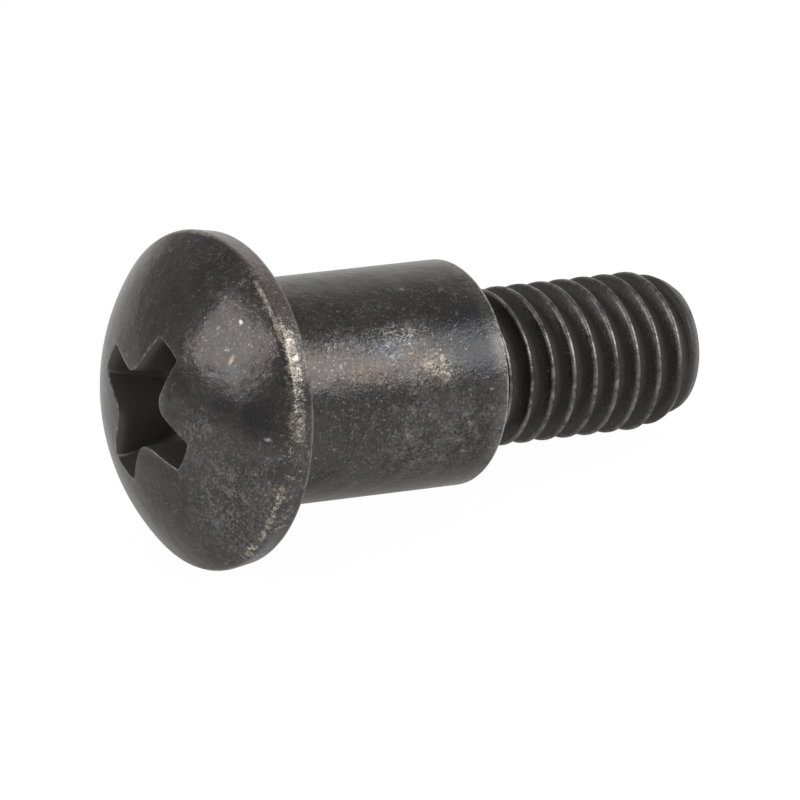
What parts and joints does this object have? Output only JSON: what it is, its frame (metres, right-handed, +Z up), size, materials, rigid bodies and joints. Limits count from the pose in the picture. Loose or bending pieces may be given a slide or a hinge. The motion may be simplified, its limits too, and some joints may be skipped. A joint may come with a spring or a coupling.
{
  "type": "shoulder screw",
  "caption": "Blackened steel shoulder screw with a low domed head, a cross recess, a plain round shoulder and a short right-hand metric thread.",
  "frame": {"origin": "on the screw's axis, at the centre of the bearing face under the head", "axes": "+X runs from the head to the tip, +Z is up; the screw lies on its head's rim and its last full crest, so its axis points about 10 degrees below +X, and the camera of the picture is on the -Y side"},
  "size_m": [0.0196, 0.0104, 0.0103],
  "materials": {
    "blackened_steel": "blackened steel, satin, worn bright on its edges and crests"
  },
  "bodies": {
    "root": {"shoulder_screw": "blackened_steel"}
  },
  "joints": []
}
